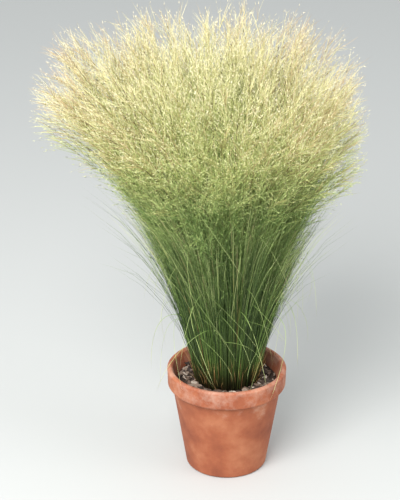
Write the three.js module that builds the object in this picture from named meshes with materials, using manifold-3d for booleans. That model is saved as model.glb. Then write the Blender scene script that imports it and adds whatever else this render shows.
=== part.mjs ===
// A feather grass in a plain clay flowerpot: a dense tussock of hair-fine green leaves from which
// flowering stems rise and spread into a broad, straw-gold cloud of awned panicles.
//
// Every stem and leaf follows one fountain of nested lines that never cross. A line is named by
// its share of the crown's radius (0 in the middle, 1 at the edge), its turn round the axis, and
// the distance along it. The crown is cut into cells, and each tuft keeps to the lines of its own
// cell, so that tufts of different cells stay clear of each other however much their blades sway.
// Above the leaves the cells of the sprays open out over those of the leaf tufts, so that the
// panicles close up into one cloud.
import * as THREE from "three";
import { mergeVertices } from "three/addons/utils/BufferGeometryUtils.js";
import Module from "manifold-3d";

const wasm = await Module();
wasm.setup();

// Driving dimensions, in millimetres. Angles are in degrees unless they are named as a turn.
const POT = {
  height: 190,
  footRadius: 72,
  neckRadius: 97,
  rimRadius: 106,
  rimHeight: 34,
  rimWall: 10,
  wall: 8,
  floor: 10,
  edge: 3,
  heel: 5,
  drainRadius: 6,
  drainOffset: 32,
  drains: 3,
  drainSides: 12,
  sides: 32,
};
const MIX = { belowRim: 24, clearance: 0.35, edge: 4, crumb: 1.2, wave: 3.4, sides: 28 };
const CHIP = { count: 16, length: [12, 22], width: [4, 8], thickness: 3, tiltTurn: 0.25 };
const CROWN = { radius: 56, depth: 16, rise: 10, clearance: 0.4, pinch: 1.8, hollow: 58.5 };
const FOUNTAIN = { lean: 10.5, bend: 41, reach: 700, steps: 16, splay: 0.06 };
const DRIFT = { lean: -32, sway: 10, scale: 85, span: 600 };
const SPACE = { root: 0.45, growth: 0.006, most: 0.42 };
const LEAF = { shortest: 290, longest: 455, rootRadius: 1.3, tipRadius: 0.7, arch: 0.34 };
const FALLEN = { rise: [112, 180], out: [46, 78], bow: 16, drop: 120, asideTurn: 0.8, radius: 0.8 };
const STEM = { middle: 618, edge: 604, taller: 45, front: 0.3, shorter: 200, radius: 1.1, shortestEnd: 30 };
const PANICLE = { length: 240, radius: 3.6, first: 16, last: 46 };
const AWN = { count: 6, length: [68, 92], spread: [28, 60], radius: 0.8, beyond: 0.25 };
const CLOUD = { from: 440, full: 600 };

// Along a line, bends are made only at these distances, so that neighbours bend side by side.
const KNOTS = [0, 200, 340, 440, 530, 620, 740];
// The points of a fallen blade past its fold, as parts of its way down.
const FALLEN_PARTS = [0.12, 0.3, 0.5, 0.75, 1];
// Steps that spread a handful of blades evenly over a cell, turns round a stem, and the turn by
// which each ring of cells starts, for each cell in it.
const EVEN = { across: 0.7549, round: 0.5698, disorder: 0.15, lean: 0.5, turn: 2.4, sway: 1.5, start: 0.4 };

// Rings of cells, from the middle out: shares of the crown's radius, those that its sprays spread
// to in the cloud, cells in the ring, what grows there in turn and how many of it stand in a cell.
const RINGS = [
  { crown: [0.0, 0.25], cloud: [0.0, 0.27], cells: 1, kinds: ["flower"], count: { flower: 5 } },
  { crown: [0.25, 0.44], cloud: [0.27, 0.51], cells: 6, kinds: ["flower"], count: { flower: 3 } },
  { crown: [0.44, 0.58], cells: 8, kinds: ["leaf"], count: { leaf: 5 } },
  { crown: [0.58, 0.8], cloud: [0.51, 0.8], cells: 12, kinds: ["flower"], count: { flower: 4 } },
  {
    crown: [0.8, 1.0],
    cloud: [0.8, 1.0],
    cells: 20,
    kinds: ["leaf", "flower", "leaf", "leaf", "flower"],
    count: { leaf: 7, flower: 4 },
  },
];

const soilZ = POT.height - MIX.belowRim;
const bandZ = POT.height - POT.rimHeight;
const degrees = THREE.MathUtils.degToRad;

const clay = new THREE.MeshStandardMaterial({ color: "#b5643f", roughness: 0.9, metalness: 0 });
const bark = new THREE.MeshStandardMaterial({ color: "#4c3b30", roughness: 1, metalness: 0 });
const green = new THREE.MeshStandardMaterial({ color: "#6d8a3c", roughness: 0.75, metalness: 0 });
const straw = new THREE.MeshStandardMaterial({ color: "#d6c98c", roughness: 0.7, metalness: 0 });

// A repeatable run of numbers from 0 to 1, different for each seed.
function seeded(seed) {
  const [factor, modulus] = [48271, 2147483647];
  let state = 7919 * seed + 104729;
  const next = () => {
    state = (state * factor) % modulus;
    return state / modulus;
  };
  next();
  return next;
}

// A random number between two bounds.
function between(random, [low, high]) {
  return low + (high - low) * random();
}

// A closed geometry as a solid that can be joined and cut.
function solidOf(geometry) {
  const bare = new THREE.BufferGeometry();
  bare.setAttribute("position", geometry.getAttribute("position"));
  bare.setIndex(geometry.getIndex());
  const merged = mergeVertices(bare, 1e-4);
  const corners = merged.getIndex().array;
  const kept = [];
  for (let i = 0; i < corners.length; i += 3) {
    const [a, b, c] = [corners[i], corners[i + 1], corners[i + 2]];
    if (a !== b && b !== c && a !== c) kept.push(a, b, c);
  }
  const vertProperties = new Float32Array(merged.getAttribute("position").array);
  const build = (order) =>
    new wasm.Manifold(new wasm.Mesh({ numProp: 3, vertProperties, triVerts: new Uint32Array(order) }));
  const made = build(kept);
  return made.volume() > 0 ? made : build(kept.toReversed());
}

// A solid as a named mesh, which is one piece of the plant or its pot.
function pieceOf(name, solid, material) {
  const { vertProperties, triVerts, numProp } = solid.getMesh();
  const places = new Float32Array((vertProperties.length / numProp) * 3);
  for (let i = 0; i < places.length / 3; i++) {
    places.set(vertProperties.subarray(i * numProp, i * numProp + 3), i * 3);
  }
  const geometry = new THREE.BufferGeometry();
  geometry.setAttribute("position", new THREE.BufferAttribute(places, 3));
  geometry.setIndex(new THREE.BufferAttribute(new Uint32Array(triVerts), 1));
  geometry.computeVertexNormals();
  const mesh = new THREE.Mesh(geometry, material);
  mesh.name = name;
  return mesh;
}

// A closed skin over rings of points, each ring with as many points as the last. The first ring
// is capped flat, and so is the last unless it is a single point.
function skin(rings) {
  const size = rings[0].length;
  const places = rings.flat().flatMap((p) => [p.x, p.y, p.z]);
  const faces = [];
  for (let k = 1; k < size - 1; k++) faces.push(0, k + 1, k);
  for (let i = 0; i + 1 < rings.length; i++) {
    const here = i * size;
    const next = here + size;
    for (let k = 0; k < size; k++) {
      const after = (k + 1) % size;
      if (rings[i + 1].length === 1) {
        faces.push(here + k, here + after, next);
      } else {
        faces.push(here + k, here + after, next + after, here + k, next + after, next + k);
      }
    }
  }
  if (rings.at(-1).length > 1) {
    const top = (rings.length - 1) * size;
    for (let k = 1; k < size - 1; k++) faces.push(top, top + k, top + k + 1);
  }
  const geometry = new THREE.BufferGeometry();
  geometry.setAttribute("position", new THREE.Float32BufferAttribute(places, 3));
  geometry.setIndex(faces);
  return geometry;
}

// A turned solid from a profile of [radius, height] pairs that starts and ends on the axis.
function turned(profile, sides) {
  const points = profile.map(([radius, height]) => new THREE.Vector2(radius, height));
  return new THREE.LatheGeometry(points, sides).rotateX(Math.PI / 2);
}

// How far out and how high above the soil a line has come after a distance along it.
function bendOf(share, along) {
  const step = along / FOUNTAIN.steps;
  let [radius, height] = [share * CROWN.radius, 0];
  for (let i = 0; i < FOUNTAIN.steps; i++) {
    const part = (step * (i + 0.5)) / FOUNTAIN.reach;
    const tilt = FOUNTAIN.lean * share + FOUNTAIN.bend * share ** 1.5 * part ** 2;
    radius += step * Math.sin(degrees(tilt));
    height += step * Math.cos(degrees(tilt));
  }
  return [radius, height];
}

// The same, straight from one knot to the next, and straight down below the soil.
function line(share, along) {
  if (along <= 0) return [share * CROWN.radius, along];
  const knot = KNOTS.findIndex((k) => k >= along);
  const [low, high] = [KNOTS[knot - 1], KNOTS[knot]];
  const part = (along - low) / (high - low);
  const [a, b] = [bendOf(share, low), bendOf(share, high)];
  return [a[0] + part * (b[0] - a[0]), a[1] + part * (b[1] - a[1])];
}

// The whole plant drifts a little as it rises, as one stirred by the wind does. The point comes
// back at its place over the soil.
function drifted(point) {
  const share = Math.max(0, point.z) / DRIFT.span;
  const [x, y, z] = [point.x / DRIFT.scale, point.y / DRIFT.scale, point.z / DRIFT.scale];
  point.x += DRIFT.lean * share ** 1.6 + DRIFT.sway * share * Math.sin(y + z / 2 + 1);
  point.y += DRIFT.sway * share * Math.cos(x + z / 2);
  point.z += DRIFT.sway * share ** 2 * (Math.sin(x + 1) + Math.cos(y));
  point.z += soilZ;
  return point;
}

// The place of a line after a distance along it.
function place(share, turn, along) {
  const [radius, height] = line(share, along);
  return drifted(new THREE.Vector3(radius * Math.cos(turn), radius * Math.sin(turn), height));
}

// A three-sided blade along a path, with a radius at each point of it but the pointed last.
function blade(path, radii) {
  const rings = path.map((point, i) => {
    if (i === path.length - 1) return [point];
    const ahead = path[i + 1];
    const behind = path[Math.max(i - 1, 0)];
    const along = ahead.clone().sub(behind).normalize();
    const side = new THREE.Vector3(-point.y, point.x, 0).normalize();
    const out = along.clone().cross(side).normalize();
    side.crossVectors(out, along).normalize();
    return [0, 1, 2].map((k) => {
      const angle = (2 * Math.PI * k) / 3;
      return point
        .clone()
        .addScaledVector(out, radii[i] * Math.cos(angle))
        .addScaledVector(side, radii[i] * Math.sin(angle));
    });
  });
  return solidOf(skin(rings));
}

// The stretch of a ring that the spray of its cell k spreads over in the cloud, counted in cells:
// half-way to the next sprays on both sides.
function stretchOf(ring, k) {
  const kindAt = (at) => ring.kinds[((at + ring.cells) % ring.cells) % ring.kinds.length];
  let [before, after] = [1, 1];
  while (kindAt(k - before) !== "flower") before++;
  while (kindAt(k + after) !== "flower") after++;
  return [k + (1 - before) / 2, k + (1 + after) / 2];
}

// The cells of the crown, each with its bounds, what grows there and its own random numbers.
function crownCells() {
  const cells = [];
  for (const ring of RINGS) {
    const width = (2 * Math.PI) / ring.cells;
    const boundsOf = ([from, to], [first, last]) => ({
      from,
      to,
      start: width * first + EVEN.start * ring.cells,
      width: width * (last - first),
    });
    for (let k = 0; k < ring.cells; k++) {
      const kind = ring.kinds[k % ring.kinds.length];
      const crown = boundsOf(ring.crown, [k, k + 1]);
      cells.push({
        crown,
        cloud: kind === "flower" ? boundsOf(ring.cloud, stretchOf(ring, k)) : crown,
        whole: ring.cells === 1,
        edge: ring.crown[1] === 1,
        kind,
        count: ring.count[kind],
        random: seeded(cells.length + 1),
      });
    }
  }
  return cells;
}

// The bounds of a cell after a distance along its lines, with its depth and width there. It opens
// from its stretch of the crown to that of the cloud, and at the crown's edge its tips splay out.
function reachOf(cell, along) {
  const open = THREE.MathUtils.smoothstep(along, CLOUD.from, CLOUD.full);
  const opened = (name) => THREE.MathUtils.lerp(cell.crown[name], cell.cloud[name], open);
  const [from, start, width] = [opened("from"), opened("start"), opened("width")];
  const splay = cell.edge ? FOUNTAIN.splay * (Math.max(0, along) / FOUNTAIN.reach) ** 4 : 0;
  const to = opened("to") + splay;
  const [inner, outer] = [line(from, along), line(to, along)];
  const deep = Math.hypot(outer[0] - inner[0], outer[1] - inner[1]);
  const wide = width * line((from + to) / 2, along)[0];
  return { from, to, start, width, deep, wide };
}

// A place in a cell as a share and a turn, from two numbers from 0 to 1, kept clear of the
// cell's bounds by the blade's own radius and a gap that grows with the distance along it.
function within(cell, across, round, along, radius) {
  const { from, to, start, width, deep, wide } = reachOf(cell, along);
  const clear = radius + SPACE.root + SPACE.growth * Math.max(0, along);
  const keep = (value, size) => {
    const margin = Math.min(SPACE.most, clear / size);
    return margin + (1 - 2 * margin) * THREE.MathUtils.clamp(value, 0, 1);
  };
  const share = from + (to - from) * keep(across, deep);
  return [share, start + width * (cell.whole ? round : keep(round, wide))];
}

// The knots that a stem of this length passes, and its own end.
function stations(length) {
  return [-CROWN.rise, ...KNOTS.filter((k) => k > 0 && k < length - STEM.shortestEnd), length];
}

// Where each of a cell's blades starts and where it leans to, spread evenly with some disorder.
function sown(cell) {
  return Array.from({ length: cell.count }, (_, k) => {
    const across = (0.5 + k * EVEN.across + EVEN.disorder * cell.random()) % 1;
    const round = (0.5 + k * EVEN.round + EVEN.disorder * cell.random()) % 1;
    const lean = [across, round].map((at) => at + EVEN.lean * (cell.random() - 0.5));
    return { across, round, lean, long: cell.random() };
  });
}

// The share and turn of a blade after a distance along it, as it sways from root to tip, moved
// aside by a part of its cell's depth and a part of its width.
function sway(cell, seed, along, length, radius, aside = [0, 0]) {
  const part = Math.max(0, along) / length;
  const across = seed.across + (seed.lean[0] - seed.across) * part;
  const round = seed.round + (seed.lean[1] - seed.round) * part;
  return within(cell, across + aside[0], round + aside[1], along, radius);
}

// The root plug of a tuft: its cell of the crown, pinched in towards the top.
function plug(cell) {
  const corners = cell.whole ? 8 : 3;
  const outline = (height, inset) => {
    const { from, to, start, width } = cell.crown;
    const inner = from * CROWN.radius + inset;
    const outer = to * CROWN.radius - inset;
    const arc = (radius) => {
      const end = cell.whole ? 0 : inset / radius;
      const steps = cell.whole ? corners : corners - 1;
      return Array.from({ length: corners }, (_, k) => {
        const turn = start + end + ((width - 2 * end) * k) / steps;
        return new THREE.Vector3(radius * Math.cos(turn), radius * Math.sin(turn), soilZ + height);
      });
    };
    return cell.whole ? arc(outer) : [...arc(outer), ...arc(inner).toReversed()];
  };
  const foot = outline(MIX.clearance - CROWN.depth, CROWN.clearance);
  return solidOf(skin([foot, outline(CROWN.rise, CROWN.clearance + CROWN.pinch)]));
}

// A leaf blade that rises with its tuft. At the edge of the crown it arches outwards.
function leafBlade(cell, seed) {
  const length = LEAF.shortest + (LEAF.longest - LEAF.shortest) * seed.long;
  const stops = stations(length);
  const parts = stops.map((along) => Math.max(0, along) / length);
  const radii = parts.map((part) => LEAF.rootRadius + (LEAF.tipRadius - LEAF.rootRadius) * part);
  const path = stops.map((along, i) => {
    const [share, turn] = sway(cell, seed, along, length, radii[i]);
    const arch = cell.edge ? LEAF.arch * seed.across * parts[i] ** 2 : 0;
    return place(share + arch, turn, along);
  });
  return blade(path, radii);
}

// A blade that has folded over: it rises with its tuft, bends out beyond it, and drops past the
// rim of the pot, turning aside as it comes down.
function fallenBlade(cell) {
  const rise = between(cell.random, FALLEN.rise);
  const out = between(cell.random, FALLEN.out);
  const aside = between(cell.random, [-FALLEN.asideTurn, FALLEN.asideTurn]);
  const [share, turn] = within(cell, 0.8, between(cell.random, [0.3, 0.7]), rise, FALLEN.radius);
  const [radius, height] = line(share, rise);
  const arc = FALLEN_PARTS.map((part) => {
    const reach = radius + out * (1 - (1 - part) ** 2);
    const heading = turn + aside * part ** 1.5;
    const drop = FALLEN.drop * part ** 2 - FALLEN.bow * 4 * part * (1 - part);
    return drifted(new THREE.Vector3(reach * Math.cos(heading), reach * Math.sin(heading), height - drop));
  });
  const path = [place(share, turn, -CROWN.rise), place(share, turn, rise), ...arc];
  return blade(path, path.map(() => FALLEN.radius));
}

// A tuft of leaf blades rising from its plug. Most of those on the open side have dropped one.
function leafTuft(cell) {
  const blades = sown(cell).map((seed) => leafBlade(cell, seed));
  const middle = cell.crown.start + cell.crown.width / 2;
  if (cell.edge && Math.sin(middle) < 0.3) blades.push(fallenBlade(cell));
  return wasm.Manifold.union([plug(cell), ...blades]);
}

// The point of a path that is made at these distances along it.
function pointOn(path, stops, along) {
  const next = Math.max(1, stops.findIndex((stop) => stop >= along));
  const part = (along - stops[next - 1]) / (stops[next] - stops[next - 1]);
  return path[next - 1].clone().lerp(path[next], part);
}

// The awns of one panicle, which stand out of its slim core all round. At the crown's edge, where
// nothing is beyond them, the outward ones stream past the cell, and the lower ones the furthest.
function awns(cell, seed, length, path, stops) {
  const first = length - PANICLE.length + PANICLE.first;
  const stretch = PANICLE.length - PANICLE.first - PANICLE.last;
  return Array.from({ length: AWN.count }, (_, k) => {
    const start = first + (stretch * k) / (AWN.count - 1);
    const end = start + between(cell.random, AWN.length);
    const angle = EVEN.turn * k + EVEN.sway * cell.random();
    const spread = between(cell.random, AWN.spread);
    const { deep, wide } = reachOf(cell, end);
    const aside = [(Math.cos(angle) * spread) / deep, (Math.sin(angle) * spread) / wide];
    const [share, turn] = sway(cell, seed, end, length, AWN.radius, aside);
    const free = cell.edge ? Math.max(0, Math.cos(angle)) * (1 - end / FOUNTAIN.reach) : 0;
    const tip = place(share + AWN.beyond * free, turn, end);
    return blade([pointOn(path, stops, start), tip], [AWN.radius, 0]);
  });
}

// The length of a flowering stem. Those at the sides and the back of the plant stand taller.
function stemLength(cell, seed) {
  const share = (cell.crown.from + cell.crown.to) / 2;
  const heading = cell.cloud.start + cell.cloud.width * seed.lean[1];
  const back = THREE.MathUtils.clamp(STEM.front + Math.sin(heading), 0, 1) * share;
  const longest = STEM.middle + (STEM.edge - STEM.middle) * share ** 2 + STEM.taller * back;
  return longest - STEM.shorter * seed.long ** 2;
}

// A flowering stem, which ends in the slim core of its panicle, with its awns.
function floweringStem(cell, seed) {
  const length = stemLength(cell, seed);
  const stops = stations(length);
  const radii = stops.map((along) => {
    const part = THREE.MathUtils.clamp((along - length + PANICLE.length) / PANICLE.length, 0, 1);
    return STEM.radius + (PANICLE.radius - STEM.radius) * Math.sin(Math.PI * part ** 0.8);
  });
  const path = stops.map((along, i) => place(...sway(cell, seed, along, length, radii[i]), along));
  return [blade(path, radii), ...awns(cell, seed, length, path, stops)];
}

// A spray of flowering stems from one plug.
function flowerSpray(cell) {
  const stems = sown(cell).flatMap((seed) => floweringStem(cell, seed));
  return wasm.Manifold.union([plug(cell), ...stems]);
}

// The radius of the pot's inside wall at a height.
function insideAt(height) {
  const taper = (POT.neckRadius - POT.footRadius) / bandZ;
  return POT.footRadius + taper * height - POT.wall;
}

// The pot: a tapered clay body with a banded rim and drain holes through its floor.
function pot() {
  const lip = POT.rimRadius - POT.rimWall;
  const ledge = bandZ + POT.edge;
  const profile = [
    [0, 0],
    [POT.footRadius - POT.edge, 0],
    [POT.footRadius, POT.edge],
    [POT.neckRadius, bandZ],
    [POT.rimRadius - POT.edge, bandZ],
    [POT.rimRadius - POT.edge / 3, ledge],
    [POT.rimRadius, POT.height - POT.edge],
    [POT.rimRadius - POT.edge, POT.height],
    [lip + POT.edge, POT.height],
    [lip, POT.height - POT.edge],
    [insideAt(ledge), ledge],
    [insideAt(POT.floor + POT.heel), POT.floor + POT.heel],
    [insideAt(POT.floor) - POT.heel, POT.floor],
    [0, POT.floor],
  ];
  const below = -1;
  const above = POT.floor + 1;
  const drain = turned(
    [
      [0, below],
      [POT.drainRadius, below],
      [POT.drainRadius, above],
      [0, above],
    ],
    POT.drainSides,
  );
  const holes = Array.from({ length: POT.drains }, (_, k) => {
    const turn = (2 * Math.PI * k) / POT.drains;
    const at = [POT.drainOffset * Math.cos(turn), POT.drainOffset * Math.sin(turn), 0];
    return solidOf(drain.clone().translate(...at));
  });
  return solidOf(turned(profile, POT.sides)).subtract(wasm.Manifold.union(holes));
}

// One chip of bark, lying on the mix at a reach and a turn.
function chip(random, reach, turn) {
  const [length, width] = [between(random, CHIP.length), between(random, CHIP.width)];
  const shape = new THREE.BoxGeometry(length, width, CHIP.thickness);
  shape.rotateY(between(random, [-CHIP.tiltTurn, CHIP.tiltTurn]));
  shape.rotateZ(Math.PI * random());
  const height = soilZ + CHIP.thickness * between(random, [0.1, 0.5]);
  return solidOf(shape.translate(reach * Math.cos(turn), reach * Math.sin(turn), height));
}

// The potting mix, with one round hollow that holds the crown, and chips of bark on it.
function pottingMix() {
  const wallAt = (height) => insideAt(height) - MIX.clearance;
  const floor = POT.floor + MIX.clearance;
  const edge = wallAt(soilZ - 2 * MIX.edge);
  const hollow = CROWN.hollow;
  const mix = turned(
    [
      [0, floor],
      [wallAt(POT.floor) - POT.heel - 1, floor],
      [wallAt(floor + POT.heel) - 0.5, floor + POT.heel],
      [edge, soilZ - MIX.edge],
      [edge - MIX.edge, soilZ],
      [(edge + hollow) / 2, soilZ + 1],
      [hollow + 2, soilZ + 1],
      [hollow, soilZ],
      [hollow, soilZ - CROWN.depth],
      [0, soilZ - CROWN.depth],
    ],
    MIX.sides,
  );
  const places = mix.getAttribute("position");
  for (let i = 0; i < places.count; i++) {
    const [x, y, z] = [places.getX(i), places.getY(i), places.getZ(i)];
    const open = z > soilZ - 0.5 && Math.hypot(x, y) > hollow + 1;
    const crumb = MIX.crumb * Math.sin(x / MIX.wave + 1) * Math.sin(y / MIX.wave + 2);
    if (open) places.setZ(i, z + crumb);
  }
  const random = seeded(500);
  const reach = [hollow + 10, edge - 15];
  const chips = Array.from({ length: CHIP.count }, (_, k) =>
    chip(random, between(random, reach), EVEN.turn * k),
  );
  return wasm.Manifold.union([solidOf(mix), ...chips]);
}

const grass = new THREE.Group();
grass.add(pieceOf("pot", pot(), clay));
grass.add(pieceOf("potting_mix", pottingMix(), bark));
const count = { leaf: 0, flower: 0 };
for (const cell of crownCells()) {
  count[cell.kind] += 1;
  const number = String(count[cell.kind]).padStart(2, "0");
  if (cell.kind === "leaf") {
    grass.add(pieceOf(`leaf_tuft_${number}`, leafTuft(cell), green));
  } else {
    grass.add(pieceOf(`flower_spray_${number}`, flowerSpray(cell), straw));
  }
}

export default grass;
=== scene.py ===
# A feather grass in a plain clay flowerpot: a tussock of hair-fine green leaves, and above it the
# broad straw-gold cloud of its awned panicles. Sizes are in metres and angles in degrees.
import math

import bpy
import numpy as np
from mathutils import Euler, Matrix, Vector, noise


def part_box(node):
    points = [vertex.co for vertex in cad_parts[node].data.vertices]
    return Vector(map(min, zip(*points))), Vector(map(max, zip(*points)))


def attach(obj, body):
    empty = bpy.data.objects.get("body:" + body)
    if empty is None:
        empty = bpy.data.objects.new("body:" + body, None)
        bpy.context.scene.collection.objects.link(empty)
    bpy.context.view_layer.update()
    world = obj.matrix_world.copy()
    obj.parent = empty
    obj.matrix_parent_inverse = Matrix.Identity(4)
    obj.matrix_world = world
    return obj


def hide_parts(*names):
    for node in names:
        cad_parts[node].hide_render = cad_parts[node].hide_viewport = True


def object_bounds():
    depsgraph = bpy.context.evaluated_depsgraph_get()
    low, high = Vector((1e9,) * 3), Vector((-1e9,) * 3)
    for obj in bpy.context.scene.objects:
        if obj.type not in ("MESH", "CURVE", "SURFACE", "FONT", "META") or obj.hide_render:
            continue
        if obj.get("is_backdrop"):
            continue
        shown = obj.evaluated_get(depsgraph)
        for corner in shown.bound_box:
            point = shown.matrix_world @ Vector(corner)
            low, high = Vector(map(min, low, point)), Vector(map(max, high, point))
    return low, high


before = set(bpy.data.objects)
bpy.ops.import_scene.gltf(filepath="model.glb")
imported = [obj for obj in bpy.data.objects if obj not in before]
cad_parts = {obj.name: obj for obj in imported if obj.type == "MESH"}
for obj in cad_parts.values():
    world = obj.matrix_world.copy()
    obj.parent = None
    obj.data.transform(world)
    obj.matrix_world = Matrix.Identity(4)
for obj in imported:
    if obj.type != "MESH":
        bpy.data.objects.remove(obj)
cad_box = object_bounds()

# The pot. A usual flowerpot of unglazed red clay, turned in a mould and fired once: tapered walls,
# a deep band below the lip to lift it by, and three drain holes through its floor.
pot_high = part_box("pot")[1]
POT_HEIGHT = pot_high.z
RIM_RADIUS = pot_high.x
FOOT_RADIUS = 0.072
NECK_RADIUS = 0.097
BAND_FOOT = POT_HEIGHT - 0.034
WALL = 0.008
LIP_WALL = 0.010
POT_FLOOR = 0.010
EDGE = 0.003
HEEL = 0.005
POT_SIDES = 128
DRAIN_RADIUS = 0.006
DRAIN_OFFSET = 0.032
DRAIN_TURNS = (0, 120, 240)
DRAIN_SIDES = 32
SOFTENED = 0.0011
SOFTENED_PAST, SMOOTH_TO = 24, 32


def deselect():
    bpy.ops.object.select_all(action="DESELECT")


def linear(colour):
    """An sRGB hex colour as the linear values that a shader takes."""
    parts = [int(colour[i : i + 2], 16) / 255 for i in (1, 3, 5)]
    return [c / 12.92 if c <= 0.04045 else ((c + 0.055) / 1.055) ** 2.4 for c in parts] + [1.0]


def add(material, kind, inputs=None, **settings):
    """A new node of a material, with its settings and its inputs."""
    made = material.node_tree.nodes.new("ShaderNode" + kind)
    for name, value in settings.items():
        setattr(made, name, value)
    for name, value in (inputs or {}).items():
        if isinstance(value, bpy.types.NodeSocket):
            material.node_tree.links.new(value, made.inputs[name])
        else:
            made.inputs[name].default_value = value
    return made


def ramp(material, value, stops):
    """The colour that a value of a material picks from a ramp with these stops."""
    made = add(material, "ValToRGB", {"Fac": value})
    elements = made.color_ramp.elements
    while len(elements) < len(stops):
        elements.new(0.5)
    for element, (place, colour) in zip(elements, stops):
        element.position = place
        element.color = linear(colour)
    return made.outputs["Color"]


def mixed(material, share, one, other, blend="MIX"):
    """The colour that a share of another colour makes of one colour of a material."""
    made = add(material, "Mix", {0: share, 6: one, 7: other}, data_type="RGBA", blend_type=blend)
    return made.outputs[2]


def grained(material, scale, detail, roughness):
    """A noise through a material, its scale given per metre."""
    place = add(material, "TexCoord").outputs["Object"]
    inputs = {"Vector": place, "Scale": scale, "Detail": detail, "Roughness": roughness}
    return add(material, "TexNoise", inputs)


def new_finish(name, roughness, ior=1.45):
    """A material with only its shader and output, and that shader."""
    material = bpy.data.materials.new(name)
    material.use_nodes = True
    shader = material.node_tree.nodes["Principled BSDF"]
    shader.inputs["Roughness"].default_value = roughness
    shader.inputs["IOR"].default_value = ior
    return material, shader


def surface(material, shader, colour, relief, strength, depth):
    """Gives a material its colour and a relief so strong and so deep."""
    bump = add(material, "Bump", {"Height": relief, "Strength": strength, "Distance": depth})
    material.node_tree.links.new(colour, shader.inputs["Base Color"])
    material.node_tree.links.new(bump.outputs["Normal"], shader.inputs["Normal"])


def wall_radius(height):
    return FOOT_RADIUS + (NECK_RADIUS - FOOT_RADIUS) * height / BAND_FOOT


def inside_radius(height):
    return wall_radius(height) - WALL


LIP = RIM_RADIUS - LIP_WALL
LEDGE = BAND_FOOT + EDGE
pot_rings = [
    (FOOT_RADIUS - EDGE, 0),
    (FOOT_RADIUS, EDGE),
    (NECK_RADIUS, BAND_FOOT),
    (RIM_RADIUS - EDGE, BAND_FOOT),
    (RIM_RADIUS - EDGE / 3, LEDGE),
    (RIM_RADIUS, POT_HEIGHT - EDGE),
    (RIM_RADIUS - EDGE, POT_HEIGHT),
    (LIP + EDGE, POT_HEIGHT),
    (LIP, POT_HEIGHT - EDGE),
    (inside_radius(LEDGE), LEDGE),
    (inside_radius(POT_FLOOR + HEEL), POT_FLOOR + HEEL),
    (inside_radius(POT_FLOOR) - HEEL, POT_FLOOR),
]

deselect()
bpy.ops.mesh.primitive_circle_add(vertices=POT_SIDES, radius=pot_rings[0][0], fill_type="NGON")
pot = bpy.context.object
pot.name = "clay_pot"
bpy.ops.object.mode_set(mode="EDIT")
for (was_radius, was_height), (radius, height) in zip(pot_rings, pot_rings[1:]):
    rise = (0, 0, height - was_height)
    grow = radius / was_radius
    bpy.ops.mesh.extrude_region_move(TRANSFORM_OT_translate={"value": rise})
    bpy.ops.transform.resize(value=(grow, grow, 1), center_override=(0, 0, 0))
bpy.ops.mesh.select_all(action="SELECT")
bpy.ops.mesh.normals_make_consistent(inside=False)
bpy.ops.object.mode_set(mode="OBJECT")

for turn in DRAIN_TURNS:
    place = (DRAIN_OFFSET * math.cos(math.radians(turn)), DRAIN_OFFSET * math.sin(math.radians(turn)), 0)
    deselect()
    bpy.ops.mesh.primitive_cylinder_add(
        vertices=DRAIN_SIDES, radius=DRAIN_RADIUS, depth=4 * POT_FLOOR, location=place
    )
    drain = bpy.context.object
    cut = pot.modifiers.new("drain", "BOOLEAN")
    cut.object = drain
    cut.operation = "DIFFERENCE"
    bpy.context.view_layer.objects.active = pot
    bpy.ops.object.modifier_apply(modifier=cut.name)
    bpy.data.objects.remove(drain)

soften = pot.modifiers.new("soften", "BEVEL")
soften.width = SOFTENED
soften.segments = 3
soften.limit_method = "ANGLE"
soften.angle_limit = math.radians(SOFTENED_PAST)
bpy.ops.object.modifier_apply(modifier=soften.name)
deselect()
pot.select_set(True)
bpy.ops.object.shade_smooth_by_angle(angle=math.radians(SMOOTH_TO))

# Unglazed earthenware: matt and slightly dusty, mottled from the fire, with the faint rings of the
# turning tool and a pale bloom of lime where water has dried out of it. Its patterns are given per
# metre: mottles of 60 mm, patches of lime of 30 mm, grit of 1.6 mm, and rings 2.4 mm apart.
MOTTLES, LIME_PATCHES, GRIT, TURNED_RINGS = 16, 34, 620, 130
LIME_DEPTH = 0.05

terracotta, shader = new_finish("unglazed_terracotta", roughness=0.86, ior=1.5)
place = add(terracotta, "TexCoord").outputs["Object"]
height = add(terracotta, "SeparateXYZ", {"Vector": place}).outputs["Z"]
cloudy = grained(terracotta, MOTTLES, detail=5, roughness=0.6)
fired = ramp(terracotta, cloudy.outputs["Fac"], [(0.32, "#84442b"), (0.5, "#9d5738"), (0.68, "#b06e4c")])
grit = grained(terracotta, GRIT, detail=3, roughness=0.7)
gritty = mixed(terracotta, 0.22, fired, grit.outputs["Color"], blend="SOFT_LIGHT")
bloom_place = grained(terracotta, LIME_PATCHES, detail=7, roughness=0.72)
bloom_high = add(
    terracotta,
    "MapRange",
    {"Value": height, "From Min": BAND_FOOT - LIME_DEPTH, "From Max": POT_HEIGHT, "To Max": 0.22},
)
bloom_sum = add(
    terracotta, "Math", {0: bloom_place.outputs["Fac"], 1: bloom_high.outputs["Result"]}, operation="ADD"
)
bloom = add(
    terracotta,
    "MapRange",
    {"Value": bloom_sum.outputs["Value"], "From Min": 0.62, "From Max": 0.95, "To Max": 0.4},
)
limed = mixed(terracotta, bloom.outputs["Result"], gritty, linear("#d9c4b2"))
rings = add(
    terracotta,
    "TexWave",
    {"Vector": place, "Scale": TURNED_RINGS, "Distortion": 1.2, "Detail": 2, "Detail Scale": 1.0},
    bands_direction="Z",
)
relief = add(terracotta, "Math", {0: rings.outputs["Fac"], 1: grit.outputs["Fac"]}, operation="ADD")
surface(terracotta, shader, limed, relief.outputs["Value"], strength=0.35, depth=0.0003)
pot.data.materials.append(terracotta)
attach(pot, "root")
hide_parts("pot")

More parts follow.
